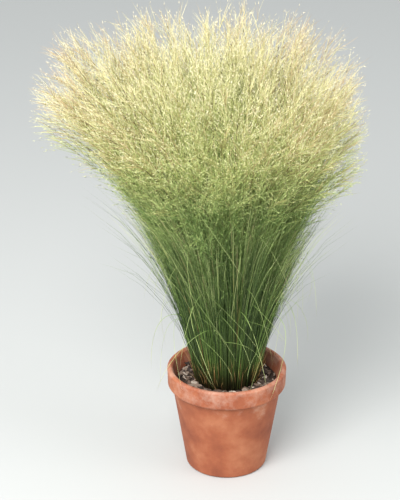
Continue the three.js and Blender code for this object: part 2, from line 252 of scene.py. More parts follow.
# The compost. Dark potting compost fills the pot to a finger's breadth below the lip. Its open top
# is crumbly, and a little lower at the wall, where watering has washed it down.
SOIL = POT_HEIGHT - 0.024
CLEARANCE = 0.0004
COMPOST_RINGS, COMPOST_SIDES = 16, 96
WALL_TOP, TOP_DEPTH, EDGE_DEPTH = 0.004, 0.0045, 0.008
WASHED_DOWN, WASHED_PAST = 0.003, 0.8
CLOD_SIZE, CLOD_HEIGHT = 0.022, 0.0022
CRUMB_SIZE, CRUMB_HEIGHT, CRUMB_LIFT = 0.006, 0.0014, 0.0005

compost_floor = POT_FLOOR + CLEARANCE
compost_edge = inside_radius(SOIL - EDGE_DEPTH) - CLEARANCE
deselect()
bpy.ops.mesh.primitive_circle_add(
    vertices=COMPOST_SIDES,
    radius=inside_radius(POT_FLOOR) - HEEL - CLEARANCE,
    fill_type="NGON",
    location=(0, 0, compost_floor),
)
compost = bpy.context.object
compost.name = "compost"
bpy.ops.object.transform_apply(location=True, rotation=True, scale=True)
bpy.ops.object.mode_set(mode="EDIT")
at = inside_radius(POT_FLOOR) - HEEL - CLEARANCE
level = compost_floor
for radius, height in (
    (inside_radius(POT_FLOOR + HEEL) - CLEARANCE, compost_floor + HEEL),
    (compost_edge, SOIL - WALL_TOP),
):
    bpy.ops.mesh.extrude_region_move(TRANSFORM_OT_translate={"value": (0, 0, height - level)})
    bpy.ops.transform.resize(value=(radius / at, radius / at, 1), center_override=(0, 0, 0))
    at, level = radius, height
for _ in range(COMPOST_RINGS):
    step = compost_edge / (COMPOST_RINGS + 1)
    bpy.ops.mesh.inset(thickness=step, depth=0)
bpy.ops.mesh.poke()
bpy.ops.mesh.select_all(action="SELECT")
bpy.ops.mesh.normals_make_consistent(inside=False)
bpy.ops.object.mode_set(mode="OBJECT")


def ground(x, y):
    """The height of the compost's crumbly top."""
    radius = math.hypot(x, y)
    washed = WASHED_DOWN * max(0.0, radius / compost_edge - WASHED_PAST) / (1 - WASHED_PAST)
    clods = CLOD_HEIGHT * noise.noise(Vector((x, y, 0)) / CLOD_SIZE)
    crumbs = CRUMB_HEIGHT * noise.noise(Vector((x, y, 0.3)) / CRUMB_SIZE)
    return SOIL + CRUMB_LIFT - washed + clods + crumbs


for vertex in compost.data.vertices:
    if vertex.co.z > SOIL - TOP_DEPTH:
        vertex.co.z = ground(vertex.co.x, vertex.co.y)
deselect()
compost.select_set(True)
bpy.ops.object.shade_smooth_by_angle(angle=math.radians(40))

# Peat-like compost, damp and dull, with paler crumbs of fibre, about 3 mm across.
CRUMBS_PER_METRE = 330

damp_compost, shader = new_finish("damp_compost", roughness=0.95, ior=1.4)
crumbs = grained(damp_compost, CRUMBS_PER_METRE, detail=6, roughness=0.75)
earth = ramp(damp_compost, crumbs.outputs["Fac"], [(0.36, "#1d1611"), (0.52, "#34281f"), (0.66, "#5a4836")])
surface(damp_compost, shader, earth, crumbs.outputs["Fac"], strength=0.9, depth=0.0015)
compost.data.materials.append(damp_compost)
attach(compost, "root")
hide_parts("potting_mix")

# The bark. Shredded bark dresses the compost: splinters and flakes of all sizes, split along the
# grain, weathered grey on top and still brown where they have broken.
SHRED_KINDS = 6
SHREDS = 330
SHRED_LENGTH = (0.007, 0.026)
SHRED_WIDTH, SHRED_THICKNESS = (0.2, 0.06), (0.1, 0.015)
SHRED_TAPER, SHRED_CURL = 0.54, 0.25
SHRED_ROLL, SHRED_PITCH = (-0.6, 0.6), (-0.25, 0.25)
SHRED_LIFT = (0.0006, 0.0041)
SHRED_CLEAR = 0.0005
CROWN_RADIUS = 0.056
CROWN_OVERLAP = 0.008


def between(bounds, part):
    """The value at a part of the way from one bound to the other."""
    return bounds[0] + (bounds[1] - bounds[0]) * part


bark_draw = np.random.default_rng(11)
shred_kinds = []
for kind in range(SHRED_KINDS):
    deselect()
    bpy.ops.mesh.primitive_cube_add(size=1)
    shred = bpy.context.object
    width, thickness = (least + more * kind for least, more in (SHRED_WIDTH, SHRED_THICKNESS))
    shred.scale = (1, width, thickness)
    bpy.ops.object.transform_apply(location=True, rotation=True, scale=True)
    bpy.ops.object.mode_set(mode="EDIT")
    bpy.ops.mesh.subdivide(number_cuts=2, fractal=0.9, fractal_along_normal=0.3, seed=kind)
    bpy.ops.object.mode_set(mode="OBJECT")
    for vertex in shred.data.vertices:
        taper = 1 - SHRED_TAPER * abs(2 * vertex.co.x) ** 1.5
        vertex.co.y *= taper
        vertex.co.z = vertex.co.z * taper + SHRED_CURL * vertex.co.x**2 * (kind % 3 - 1)
    shred.data.uv_layers.new(name="shred_tone")
    shred_kinds.append(shred)

shreds = []
while len(shreds) < SHREDS:
    kind = shred_kinds[bark_draw.integers(SHRED_KINDS)]
    length = between(SHRED_LENGTH, bark_draw.random() ** 1.8)
    roll, pitch = (between(bounds, bark_draw.random()) for bounds in (SHRED_ROLL, SHRED_PITCH))
    turn = 2 * math.pi * bark_draw.random()
    reach = between((CROWN_RADIUS, compost_edge), bark_draw.random())
    heading = 2 * math.pi * bark_draw.random()
    x, y = reach * math.cos(heading), reach * math.sin(heading)
    lift = between(SHRED_LIFT, bark_draw.random())
    laid = Matrix.LocRotScale((x, y, ground(x, y) + lift), Euler((roll, pitch, turn)), Vector((length,) * 3))
    tone = (bark_draw.random(), bark_draw.random())
    ends = [laid @ vertex.co for vertex in kind.data.vertices]
    spans = [math.hypot(end.x, end.y) for end in ends]
    if max(spans) > compost_edge - SHRED_CLEAR or min(spans) < CROWN_RADIUS - CROWN_OVERLAP:
        continue
    copy = bpy.data.objects.new("bark_shred", kind.data.copy())
    copy.data.transform(laid)
    copy.data.uv_layers["shred_tone"].data.foreach_set("uv", tone * len(copy.data.loops))
    bpy.context.scene.collection.objects.link(copy)
    shreds.append(copy)
for kind in shred_kinds:
    bpy.data.objects.remove(kind)

deselect()
for shred in shreds:
    shred.select_set(True)
bark = shreds[0]
bpy.context.view_layer.objects.active = bark
bpy.ops.object.join()
bark.name = "bark_shreds"
bpy.ops.object.mode_set(mode="EDIT")
bpy.ops.mesh.select_all(action="SELECT")
bpy.ops.mesh.normals_make_consistent(inside=False)
bpy.ops.object.mode_set(mode="OBJECT")
bpy.ops.object.shade_smooth_by_angle(angle=math.radians(35))

# Weathered bark: dry and fibrous, no two shreds of one colour. Its fibres are about 1 mm wide.
FIBRES_PER_METRE = 900

weathered_bark, shader = new_finish("weathered_bark", roughness=0.9, ior=1.5)
tone = add(weathered_bark, "UVMap", uv_map="shred_tone")
tones = add(weathered_bark, "SeparateXYZ", {"Vector": tone.outputs["UV"]})
fibre = grained(weathered_bark, FIBRES_PER_METRE, detail=4, roughness=0.7)
shade = ramp(
    weathered_bark,
    tones.outputs["X"],
    [(0.0, "#2a201a"), (0.4, "#463529"), (0.7, "#665244"), (0.9, "#8b7a6c"), (1.0, "#c2b5a6")],
)
fibrous = mixed(weathered_bark, 0.55, shade, fibre.outputs["Color"], blend="SOFT_LIGHT")
surface(weathered_bark, shader, fibrous, fibre.outputs["Fac"], strength=0.7, depth=0.0006)
bark.data.materials.append(weathered_bark)
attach(bark, "root")
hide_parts("potting_mix")

# The way the grass grows. Leaves and stems follow one fountain of lines, each set by its share of
# the crown's radius, its turn and the distance along it, and drift with the wind. The crown is cut
# into cells, one for each tuft or spray, and the cells of the sprays open out above the others.
LEAN = 10.5
BEND = 41
REACH = 0.7
FOUNTAIN_STEPS = 16
SPLAY = 0.06
DRIFT_LEAN = -0.032
DRIFT_SWAY = 0.010
DRIFT_SCALE = 0.085
DRIFT_SPAN = 0.6
SPREAD_EDGE = 0.004
CLOUD_FROM, CLOUD_FULL = 0.060, 0.440
RINGS = [
    ((0.0, 0.25), (0.0, 0.27), 1, ["flower"], {"flower": 5}),
    ((0.25, 0.44), (0.27, 0.51), 6, ["flower"], {"flower": 3}),
    ((0.44, 0.58), (0.44, 0.58), 8, ["leaf"], {"leaf": 5}),
    ((0.58, 0.8), (0.51, 0.8), 12, ["flower"], {"flower": 4}),
    ((0.8, 1.0), (0.8, 1.0), 20, ["leaf", "flower", "leaf", "leaf", "flower"], {"leaf": 7, "flower": 4}),
]
RING_TURN = 0.4
FOOT_WITHIN = 0.97
EVEN_ACROSS, EVEN_ROUND, DISORDER, LEANING = 0.7549, 0.5698, 0.15, 0.5
ACROSS_LIMITS, AROUND_LIMITS = (-0.4, 1.0), (-0.9, 1.9)
TONE_WIDTH = 0.012


def fountain(share, along):
    """How far out and how high above the soil lines have come after a distance along them."""
    rise = np.maximum(along, 0)
    step = rise / FOUNTAIN_STEPS
    radius = share * CROWN_RADIUS
    height = np.minimum(along, 0) + 0 * share
    for i in range(FOUNTAIN_STEPS):
        part = step * (i + 0.5) / REACH
        tilt = np.radians(LEAN * share + BEND * np.sign(share) * np.abs(share) ** 1.5 * part**2)
        radius = radius + step * np.sin(tilt)
        height = height + step * np.cos(tilt)
    return radius, height


def growth(share, turn, along):
    """The places of lines after a distance along them."""
    radius, height = fountain(share, along)
    return stirred(np.stack([radius * np.cos(turn), radius * np.sin(turn), height], axis=-1))


def room(places, spare=0.0):
    """How much of each of these strands, from its foot, stays within the plant's full spread and
    height, or within less of them by a spare share."""
    low, high = (np.array(corner) for corner in cad_box)
    middle, half = (low + high) / 2, (high - low) / 2 - SPREAD_EDGE
    away = (places - middle) / half / (1 - spare)
    reach = np.maximum(np.hypot(away[..., 0], away[..., 1]), away[..., 2])
    foot = np.minimum(reach[:, :1], FOOT_WITHIN)
    part = np.where(reach > 1, (1 - foot) / np.maximum(reach - foot, 1e-6), 1.0)
    return part.min(axis=1)


def shortened(places, part):
    """Strands drawn in towards their feet, each to its own part."""
    return places[:, :1] + part[:, None, None] * (places - places[:, :1])


def stirred(places):
    """Places above the soil, moved as the wind moves them, in the object's frame."""
    high = np.maximum(places[..., 2], 0) / DRIFT_SPAN
    x, y, z = (places[..., i] / DRIFT_SCALE for i in range(3))
    moved = places.copy()
    moved[..., 0] += DRIFT_LEAN * high**1.6 + DRIFT_SWAY * high * np.sin(y + z / 2 + 1)
    moved[..., 1] += DRIFT_SWAY * high * np.cos(x + z / 2)
    moved[..., 2] += DRIFT_SWAY * high**2 * (np.sin(x + 1) + np.cos(y)) + SOIL
    return moved


def even_draw(seed):
    """A repeatable run of numbers from 0 to 1, different for each seed."""
    state = 7919 * seed + 104729
    while True:
        state = state * 48271 % 2147483647
        yield state / 2147483647


def stretch(count, kinds, k):
    """The stretch of a ring that the spray of its cell k spreads over in the cloud, in cells."""
    before, after = 1, 1
    while kinds[(k - before) % count % len(kinds)] != "flower":
        before += 1
    while kinds[(k + after) % count % len(kinds)] != "flower":
        after += 1
    return k + (1 - before) / 2, k + (1 + after) / 2


def opened(cell, name, along):
    """A bound of a cell after a distance along its lines."""
    part = np.clip((along - CLOUD_FROM) / (CLOUD_FULL - CLOUD_FROM), 0, 1)
    crown, cloud = cell[name]
    return crown + (cloud - crown) * part**2 * (3 - 2 * part)


def crown_cells():
    """The cells of the crown, each with the seeds of its blades or stems."""
    cells = []
    for crown, cloud, count, kinds, seeds in RINGS:
        width, turned = 2 * math.pi / count, RING_TURN * count
        for k in range(count):
            kind = kinds[k % len(kinds)]
            first, last = stretch(count, kinds, k) if kind == "flower" else (k, k + 1)
            draw = even_draw(len(cells) + 1)
            next(draw)
            sown = []
            for i in range(seeds[kind]):
                across = (0.5 + i * EVEN_ACROSS + DISORDER * next(draw)) % 1
                around = (0.5 + i * EVEN_ROUND + DISORDER * next(draw)) % 1
                lean = [at + LEANING * (next(draw) - 0.5) for at in (across, around)]
                sown.append([across, around, *lean, next(draw)])
            cells.append(
                {
                    "inner": (crown[0], cloud[0]),
                    "outer": (crown[1], cloud[1]),
                    "edge": crown[1] == 1,
                    "start": (width * k + turned, width * first + turned),
                    "width": (width, width * (last - first)),
                    "kind": kind,
                    "sown": np.array(sown),
                    "draw": draw,
                }
            )
    return cells


def spread(sown, each, far, fan, random):
    """Many blades from few seeds: each seed's blades stand round it over the whole cell, lean as it
    does, and fan out from each other."""
    blades = np.repeat(sown, each, axis=0)
    own = (blades[:, 0:2] + random.normal(0, far, (len(blades), 2))) % 1
    moved = own - blades[:, 0:2]
    blades[:, 0:2] = own
    blades[:, 2:4] += moved + LEANING * (own - 0.5) + random.normal(0, fan, own.shape)
    blades[:, 2] = np.clip(blades[:, 2], *ACROSS_LIMITS)
    blades[:, 3] = np.clip(blades[:, 3], *AROUND_LIMITS)
    return blades


def routes(cell, blades, along, length, arch=0.0):
    """The places of blades at distances along them, as they lean over from root to tip."""
    part = np.maximum(along, 0) / length[:, None]
    across = blades[:, None, 0] + (blades[:, None, 2] - blades[:, None, 0]) * part
    around = blades[:, None, 1] + (blades[:, None, 3] - blades[:, None, 1]) * part
    inner = opened(cell, "inner", along)
    outer = opened(cell, "outer", along) + cell["edge"] * SPLAY * (np.maximum(along, 0) / REACH) ** 4
    share = inner + (outer - inner) * across
    if cell["edge"]:
        share = share + arch * blades[:, None, 0] * part**2
    return growth(share, opened(cell, "start", along) + opened(cell, "width", along) * around, along)


def ripeness(places, riper=0.0):
    """How ripe the grass of a spray looks at places: from 0 at the soil to 1, it ripens with height."""
    return np.minimum((places[..., 2] - SOIL) / REACH + riper, 1)


def strands(places, radii, tone, shade, aside):
    """Closed three-sided strands along places, as corners, faces and the two numbers that colour
    them: a tone for each strand or place, and a shade for each place. aside turns their sides."""
    count, stops = places.shape[:2]
    tone = np.broadcast_to(tone.reshape(count, -1), (count, stops))
    ahead = np.diff(places, axis=1)
    along = np.concatenate([ahead[:, :1], ahead[:, :-1] + ahead[:, 1:]], axis=1)
    along /= np.linalg.norm(along, axis=2, keepdims=True)
    level = np.cross(places[:, -1] - places[:, 0], aside)[:, None, :]
    one = np.cross(along, level)
    one /= np.linalg.norm(one, axis=2, keepdims=True)
    two = np.cross(along, one)
    angles = 2 * np.pi / 3 * np.arange(3)[None, None, :, None]
    round_it = np.cos(angles) * one[:, :, None] + np.sin(angles) * two[:, :, None]
    rings = places[:, :-1, None] + radii[:, :-1, None, None] * round_it
    corners = np.concatenate([rings.reshape(count, -1, 3), places[:, -1:]], axis=1)
    faces, columns, rows = [], [], []
    for i in range(stops - 2):
        for k in range(3):
            n = (k + 1) % 3
            faces.append([3 * i + k, 3 * i + n, 3 * i + 3 + n, 3 * i + 3 + k])
            columns.append([k, k + 1, k + 1, k])
            rows.append([i, i, i + 1, i + 1])
    last = stops - 2
    for k in range(3):
        faces.append([3 * last + k, 3 * last + (k + 1) % 3, 3 * last + 3])
        columns.append([k, k + 1, k + 0.5])
        rows.append([last, last, last + 1])
    faces.append([0, 2, 1])
    columns.append([0, 2, 1])
    rows.append([0, 0, 0])
    flat = np.concatenate(faces)
    across = TONE_WIDTH * np.concatenate(columns) / 3
    u = (1 - TONE_WIDTH) * tone[:, np.concatenate(rows)] + across
    v = shade[:, np.concatenate(rows)]
    sizes = np.tile([len(face) for face in faces], count)
    size = 3 * (stops - 1) + 1
    indices = (flat + size * np.arange(count)[:, None]).ravel()
    return corners.reshape(-1, 3), indices, sizes, np.stack([u, v], axis=-1).reshape(-1, 2)


def grass_piece(name, parts, finish):
    """One piece of grass from all its strands."""
    mesh = bpy.data.meshes.new(name)
    starts = np.cumsum([0] + [len(part[0]) for part in parts[:-1]])
    corners = np.concatenate([part[0] for part in parts])
    indices = np.concatenate([part[1] + start for part, start in zip(parts, starts)])
    sizes = np.concatenate([part[2] for part in parts])
    colours = np.concatenate([part[3] for part in parts])
    mesh.vertices.add(len(corners))
    mesh.vertices.foreach_set("co", corners.astype(np.float32).ravel())
    mesh.loops.add(len(indices))
    mesh.loops.foreach_set("vertex_index", indices.astype(np.int32))
    mesh.polygons.add(len(sizes))
    firsts = np.cumsum(np.concatenate([[0], sizes[:-1]]))
    mesh.polygons.foreach_set("loop_start", firsts.astype(np.int32))
    mesh.polygons.foreach_set("use_smooth", np.ones(len(sizes), bool))
    mesh.update(calc_edges=True)
    mesh.uv_layers.new(name="OFBake").data.foreach_set("uv", colours.astype(np.float32).ravel())
    mesh.materials.append(finish)
    piece = bpy.data.objects.new(name, mesh)
    bpy.context.scene.collection.objects.link(piece)
    return piece


# The leaves. Hair-fine blades, rolled in on themselves, rise close together from the crown and arch
# out at its edge. Old sheaths stand brown at their foot, and some blades have dried, folded over
# or slumped. All are drawn up to twice as thick as real ones, so that they show.
ROOT_DEPTH = 0.008
LEAVES_EACH = 55
LEAF_LENGTH, LENGTH_PARTS = (0.290, 0.455), (-0.4, 1.05)
LEAF_UNEVEN = 0.25
LEAF_ARCH, SHORT_ARCH = 0.34, 1.3
LEAF_RADIUS, LEAF_THICKNESS, BRIGHT_THICKER = 0.00031, (0.8, 1.15), 0.25
LEAF_TAPER = 0.55
LEAF_STOPS = 6
LEAF_FAR, LEAF_FAN = 0.3, 0.12
STRAY_SHARE, STRAY_BOW = 0.18, 0.030
LEAF_BOW, BOW_LIMIT = 0.010, 1.6
# Shares and tones of the blades in painted light, half lit and in painted shade, and of the dry ones.
LIT_SHARE, MIDDLE_SHARE, DRY_SHARE = 0.17, 0.14, 0.03
LIT_TONE, MIDDLE_TONE, SHADED_TONE, TONE_SPREAD = 0.92, 0.45, 0.1, 0.07
FRESH_TO, BRIGHTEST, DRY_FROM, DRY_TONE = 0.85, 0.86, 0.88, 0.9
STALK_TONES = 0.62
FOLDED_EACH = 4
FOLD_RISE, FOLD_OUT = (0.112, 0.180), (0.046, 0.078)
FOLD_BOW, FOLD_DROP, FOLD_ASIDE = 0.016, 0.120, 0.8
FOLD_ACROSS, FOLD_AROUND = 0.8, (0.3, 0.7)
FOLD_HIGHER, FOLD_NEARER = (-0.03, 0.11), (0.6, 1.1)
FOLD_STOPS = 12
FOLD_TAPER, FOLD_SHADE = (1, 0.35), (0.35, 0.95)
FOLDED_RADIUS, FOLDED_FINER, FOLDED_TONE = 0.0006, 0.65, 0.8
SLUMPED_EACH = 3
SLUMP_RISE, SLUMP_LENGTH = (0.090, 0.250), (0.090, 0.190)
SLUMP_RIGHT, SLUMP_OUT, SLUMP_CLEAR = 0.75, 0.03, 0.004
SLUMP_SHARE = (0.94, 1.03)
SLUMP_FIRST_DIP, SLUMP_LAST_DIP = (-30, 50), (45, 85)
SLUMP_THICKNESS, SLUMP_TONES = (0.45, 0.75), (0.6, 0.84)
SLUMP_TAPER, SLUMP_SHADE = (1, 0.4), (0.3, 0.92)
SLUMP_FOOT_STOPS, SLUMP_STOPS = (0, 0.35, 0.7, 1), 9
SHEATHS_EACH = 8
SHEATH_LENGTH = (0.025, 0.085)
SHEATH_RADIUS, SHEATH_SPLAY = 0.0005, 0.006
SHEATH_STOPS, SHEATH_SHADE = 4, 0.35
FRONT_TO = 0.3


def leaf_tones(count, random):
    """How bright each blade is: most a deep green of painted shade, some in painted light where they catch
    it, and a few dry.
    """
    lot = random.random(count)
    fresh = np.where(lot < LIT_SHARE + MIDDLE_SHARE, MIDDLE_TONE, SHADED_TONE)
    fresh = np.where(lot < LIT_SHARE, LIT_TONE, fresh)
    fresh = np.clip(fresh + random.normal(0, TONE_SPREAD, count), 0, 1) * FRESH_TO
    dry = random.random(count) < DRY_SHARE
    return np.where(dry, between((DRY_TONE, 1), random.random(count)), fresh)


def leaf_strands(cell, each, random, in_spray=False):
    """The leaves of a tuft, or those among the stems of a spray, from the seeds of its cell."""
    blades = spread(cell["sown"], each, LEAF_FAR, LEAF_FAN, random)
    count = len(blades)
    uneven = random.normal(0, LEAF_UNEVEN, count)
    length = between(LEAF_LENGTH, np.clip(blades[:, 4] + uneven, *LENGTH_PARTS))
    arch = LEAF_ARCH * np.clip(0.5 - SHORT_ARCH * uneven, 0, 1)[:, None]
    part = np.linspace(0, 1, LEAF_STOPS)[None, :]
    along = part * (length[:, None] + ROOT_DEPTH) - ROOT_DEPTH
    places = routes(cell, blades, along, length, arch)
    stray = (random.random(count) < STRAY_SHARE) * STRAY_BOW
    bow = np.clip(random.normal(size=(count, 3)), -BOW_LIMIT, BOW_LIMIT) * (stray + LEAF_BOW)[:, None]
    bow[:, 2] = -np.abs(bow[:, 2])
    places = places + bow[:, None] * (part**2)[..., None]
    places = shortened(places, room(places))
    tones = leaf_tones(count, random)
    if in_spray:
        tones = STALK_TONES * np.minimum(tones / DRY_TONE, 1)
    thick = between(LEAF_THICKNESS, random.random(count)) + BRIGHT_THICKER * (tones > 0.5)
    radii = LEAF_RADIUS * thick[:, None] * (1 - LEAF_TAPER * part)
    shade = ripeness(places) if in_spray else np.repeat(part, count, axis=0)
    return strands(places, radii, tones, shade, random.normal(size=(count, 3)))


def sheath_strands(cell, random):
    """The old leaf sheaths of a tuft, which stand brown round its foot."""
    blades = spread(cell["sown"], SHEATHS_EACH, LEAF_FAR, LEAF_FAN, random)
    count = len(blades)
    length = between(SHEATH_LENGTH, random.random(count))
    part = np.linspace(0, 1, SHEATH_STOPS)[None, :]
    along = part * (length[:, None] + ROOT_DEPTH) - ROOT_DEPTH
    places = routes(cell, blades, along, np.full(count, LEAF_LENGTH[0]))
    aside = random.normal(0, SHEATH_SPLAY, (count, 3))
    places = places + aside[:, None] * (part**2)[..., None]
    radii = SHEATH_RADIUS * (1 - 0.5 * part) * np.ones((count, 1))
    shade = np.repeat(SHEATH_SHADE * part, count, axis=0)
    tones = between((DRY_TONE, 1), random.random(count))
    return strands(places, radii, tones, shade, random.normal(size=(count, 3)))


def folded_strands(cell, random):
    """The blades of an edge tuft that have folded over and hang past the rim, and a few finer
    ones beside them."""
    draw = cell["draw"]
    rise, out = (between(bounds, next(draw)) for bounds in (FOLD_RISE, FOLD_OUT))
    aside = FOLD_ASIDE * (2 * next(draw) - 1)
    around = between(FOLD_AROUND, next(draw))
    share = np.array(between((cell["inner"][0], 1), FOLD_ACROSS))
    made = []
    for k in range(FOLDED_EACH):
        turn = cell["start"][0] + cell["width"][0] * around
        foot, fold = growth(share, turn, -ROOT_DEPTH), growth(share, turn, rise)
        radius, height = fountain(share, rise)
        part = np.linspace(0, 1, FOLD_STOPS)[1:]
        reach = radius + out * (1 - (1 - part) ** 2)
        heading = turn + aside * part**1.5
        drop = FOLD_DROP * part**2 - FOLD_BOW * 4 * part * (1 - part)
        arc = np.stack([reach * np.cos(heading), reach * np.sin(heading), height - drop], axis=-1)
        arc = stirred(arc)
        halfway = growth(share, turn, rise / 2)
        places = np.concatenate([[foot, halfway, fold], arc])[None]
        span, shade = (np.linspace(*ends, places.shape[1])[None] for ends in (FOLD_TAPER, FOLD_SHADE))
        across = np.cross(arc[0] - foot, arc[-1] - foot)[None]
        thick = FOLDED_RADIUS if k == 0 else FOLDED_FINER * FOLDED_RADIUS
        made.append(strands(places, thick * span, np.array([FOLDED_TONE]), shade, across))
        rise += random.uniform(*FOLD_HIGHER)
        out *= random.uniform(*FOLD_NEARER)
        aside = random.uniform(-FOLD_ASIDE, FOLD_ASIDE)
        around = random.uniform(0.1, 0.9)
    return made


def slumped_strands(cell, random):
    """The blades of a front tuft that have buckled, and lie down across its face."""
    count = SLUMPED_EACH
    turn = cell["start"][0] + cell["width"][0] * random.random(count)
    rise = random.uniform(*SLUMP_RISE, count)
    length = random.uniform(*SLUMP_LENGTH, count) * (0.6 + 0.4 * rise / SLUMP_RISE[1])
    share = random.uniform(*SLUMP_SHARE, count)
    radius, height = fountain(share, rise)
    part = np.linspace(0, 1, SLUMP_STOPS)[1:]
    first = np.radians(random.uniform(*SLUMP_FIRST_DIP, count))
    last = np.radians(random.uniform(*SLUMP_LAST_DIP, count))
    dip = first[:, None] + (last - first)[:, None] * part**0.8
    step = (length / len(part))[:, None]
    drop = np.cumsum(np.sin(dip) * step, axis=1)
    travel = np.cumsum(np.cos(dip) * step, axis=1)
    side = np.where(random.random(count) < SLUMP_RIGHT, 1, -1)[:, None]
    outer = radius[:, None] + SLUMP_CLEAR + SLUMP_OUT * part * random.random((count, 1))
    heading = turn[:, None] + side * travel / outer
    arc = np.stack([outer * np.cos(heading), outer * np.sin(heading), height[:, None] - drop], axis=-1)
    arc = stirred(arc)
    stem = [growth(share, turn, rise * at)[:, None] for at in SLUMP_FOOT_STOPS]
    places = np.concatenate([*stem, arc], axis=1)
    thick = FOLDED_RADIUS * random.uniform(*SLUMP_THICKNESS, count)
    radii = thick[:, None] * np.linspace(*SLUMP_TAPER, places.shape[1])
    shade = np.broadcast_to(np.linspace(*SLUMP_SHADE, places.shape[1]), radii.shape)
    tones = random.uniform(*SLUMP_TONES, count)
    return strands(places, radii, tones, shade, random.normal(size=(count, 3)))


def above(material, value, least):
    """1 where a value of a material lies above the least one, and 0 elsewhere."""
    return add(material, "Math", {0: value, 1: least}, operation="GREATER_THAN").outputs["Value"]


# Living grass: a soft waxy sheen over fresh green, paler and more yellow towards the tips.
leaf_green, shader = new_finish("feather_grass_leaf", roughness=0.5, ior=1.42)
strand = add(leaf_green, "UVMap", uv_map="OFBake")
grain = add(leaf_green, "SeparateXYZ", {"Vector": strand.outputs["UV"]})
tone, grown = grain.outputs["X"], grain.outputs["Y"]
# Painted light and shade: the lit ramp is painted light and the other ramp painted shade, and each blade's
# tone picks its share of the two.
lit = ramp(
    leaf_green,
    grown,
    [
        (0, "#8a7448"),
        (0.05, "#7a7a44"),
        (0.16, "#7c9b4c"),
        (0.5, "#83a350"),
        (0.8, "#c6d588"),
        (1, "#e6e2a6"),
    ],
)
shaded_ramp = ramp(
    leaf_green,
    grown,
    [
        (0, "#33281a"),
        (0.05, "#2e321a"),
        (0.16, "#1d2d11"),
        (0.5, "#1b2f12"),
        (0.8, "#44602a"),
        (1, "#84944b"),
    ],
)
dried = ramp(leaf_green, grown, [(0, "#4b3421"), (0.12, "#86603a"), (0.3, "#a5854f"), (1, "#dccb98")])
brightness = add(leaf_green, "MapRange", {"Value": tone, "From Max": BRIGHTEST}).outputs["Result"]
fresh = mixed(leaf_green, brightness, shaded_ramp, lit)
leaf_colour = mixed(leaf_green, above(leaf_green, tone, DRY_FROM), fresh, dried)
leaf_green.node_tree.links.new(leaf_colour, shader.inputs["Base Color"])

cells = crown_cells()
number = 0
for cell in cells:
    if cell["kind"] != "leaf":
        continue
    number += 1
    random = np.random.default_rng(1000 + number)
    parts = [leaf_strands(cell, LEAVES_EACH, random), sheath_strands(cell, random)]
    if cell["edge"] and math.sin(cell["start"][0] + cell["width"][0] / 2) < FRONT_TO:
        parts += folded_strands(cell, random)
        parts.append(slumped_strands(cell, random))
    tuft = grass_piece(f"leaves_{number:02d}", parts, leaf_green)
    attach(tuft, "root")
    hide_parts(f"leaf_tuft_{number:02d}")

# The flowering stems. Thin stems stand among the leaves, each with a long loose panicle of some
# fifty spikelets on hair-fine branches: papery glumes, a pair drawn as one, and for some an awn.
# All three are drawn two to five times as thick as real, so that they show as a pale cloud.
STEM_MIDDLE, STEM_EDGE, STEM_SHORTER = 0.630, 0.612, 0.240
STEM_TALLER, BACK_FROM, BACK_EVEN = 0.055, 0.3, 0.45
STEMS_EACH, EDGE_STEMS_EACH = 6, 18
EDGE_MOST = 0.84
STEM_RADIUS, STEM_TAPER, STEM_TONES = 0.00037, 0.45, 0.6
STEM_STOPS = 10
STEM_SPARE = 0.05
BROWN_SHARE, BROWNER_LEFT, BROWN_SHORTER = 0.08, 2.0, 0.6
LEFT_FROM, FRONT_FROM = 0.2, 0.7
BROWN_THICKER, BROWN_BARE_TO = 1.5, 0.6
NOD_LENGTH = 0.300
NOD, NOD_DOWN = 0.020, 0.4
EDGE_DROOP = 0.082
EDGE_SAG, SIDES_HELD = 0.9, 0.8
PANICLE_LENGTH, TIP_BARE = 0.285, 0.012
SPIKELETS, TOP_HEAVY = 50, 0.8
FRONT_BARE, FRONT_FILLING = 0.9, 2.2
FINE_THICKNESS = (0.75, 1.35)
BRANCH_LENGTH, BRANCH_SHORTER = (0.012, 0.080), 0.4
BRANCH_ANGLE, BRANCH_WEIGHT = (8, 46), 0.08
BRANCH_RADIUS = 0.00030
GLUME_LENGTH, GLUME_RADIUS = 0.0058, 0.00078
GLUME_AT, GLUME_ANGLE, GLUME_SIZES = (0.55, 0.95), (0, 34), (0.7, 1.3)
GLUME_SLIMMER = 0.45
AWN_SHARE, EDGE_AWN_SHARE = 0.22, 0.55
AWN_LENGTH, AWN_SHORTER = (0.045, 0.085), 0.35
AWN_ANGLE, AWN_SWING, AWN_WEIGHT = (6, 36), 0.5, 0.25
AWN_RADIUS, AWN_TAPER = 0.00026, (1.2, 1.2, 0.9, 0)
AWN_PARTS = (0, 0.3, 0.63, 1)
# The share of strands in painted shade, and the tones of painted shade and of painted light.
SHADE_SHARE = 0.36
SHADE_TONES, LIGHT_TONES = (0, 0.12), (0.5, STALK_TONES)
BROWN_FROM, BROWN_TONES = 0.70, (0.72, 0.76)
TAWNY_FROM, TAWNY_TONES = 0.765, (0.79, 0.82)
HUSK_FROM, HUSK_TONES = 0.855, (0.87, 1)
PALE_HUSK, PALE_TIP, PALE_TIP_TONE = 0.92, 0.75, 0.93
EDGE_TAWNY = 0.5
SIDE_RIPER = 0.13
FLOWER_LEAVES_EACH = 14


def sow_stems(cell, count, random):
    """Flowering stems spread evenly over a cell."""
    order = np.arange(count)
    across = (0.5 + order * EVEN_ACROSS + DISORDER * random.random(count)) % 1
    around = (0.5 + order * EVEN_ROUND + DISORDER * random.random(count)) % 1
    lean_across = across + LEANING * (random.random(count) - 0.5)
    lean_around = around + LEANING * (random.random(count) - 0.5)
    if cell["edge"]:
        lean_across = np.minimum(lean_across, EDGE_MOST)
    shorter = random.random(count)
    return np.stack([across, around, lean_across, lean_around, shorter], axis=1)


def nodding(cell, blades, along, length, nod):
    """The places of stems at distances along them, their panicles nodding aside at the top."""
    past = np.clip((along - length[:, None] + NOD_LENGTH) / NOD_LENGTH, 0, None)
    return routes(cell, blades, along, length) + nod[:, None] * (past**2)[..., None]


